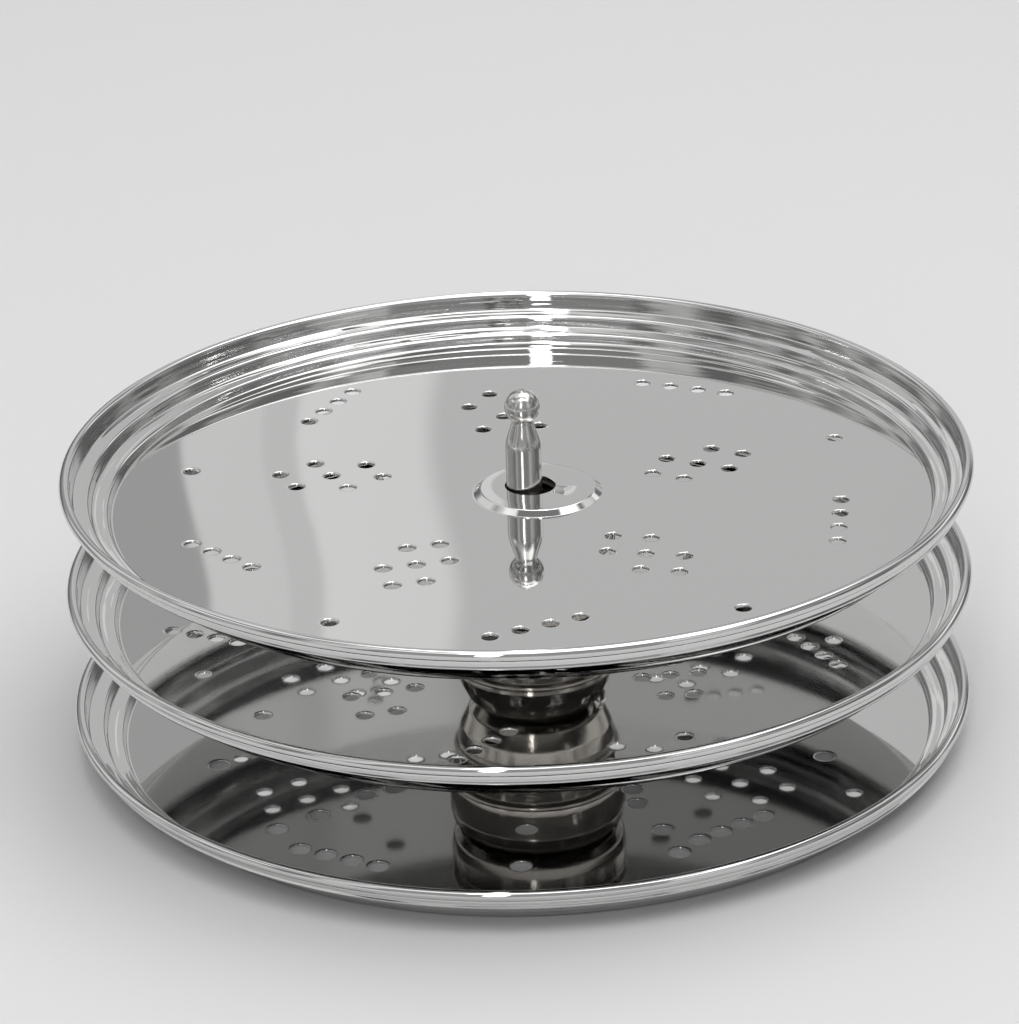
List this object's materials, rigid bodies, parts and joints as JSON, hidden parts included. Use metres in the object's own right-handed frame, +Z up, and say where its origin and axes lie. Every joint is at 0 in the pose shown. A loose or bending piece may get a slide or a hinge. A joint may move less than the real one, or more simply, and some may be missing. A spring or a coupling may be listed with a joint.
{
  "type": "string hopper steamer stand",
  "caption": "Tiered steamer stand: shallow round perforated steel plates with rolled rims, held apart by hollow spun cups on a central rod with a ball top.",
  "frame": {"origin": "middle of the bottom plate's underside, on the axis of the plates, where the stand rests", "axes": "+Z up along the rod towards the ball, +X to the right and +Y to the back of the stand as it stands on a table"},
  "size_m": [0.22, 0.22, 0.0865],
  "materials": {
    "plate_steel": "mirror-polished stainless steel sheet, with faint burrs round the punched steam holes",
    "cup_steel": "polished spun stainless steel sheet",
    "rod_steel": "drawn stainless steel bar with fine lengthwise grain, and a turned and polished ball"
  },
  "bodies": {
    "root": {"plate_top": "plate_steel", "plate_middle": "plate_steel", "plate_bottom": "plate_steel", "spacer_upper": "cup_steel", "spacer_lower": "cup_steel", "rod": "rod_steel"}
  },
  "joints": []
}
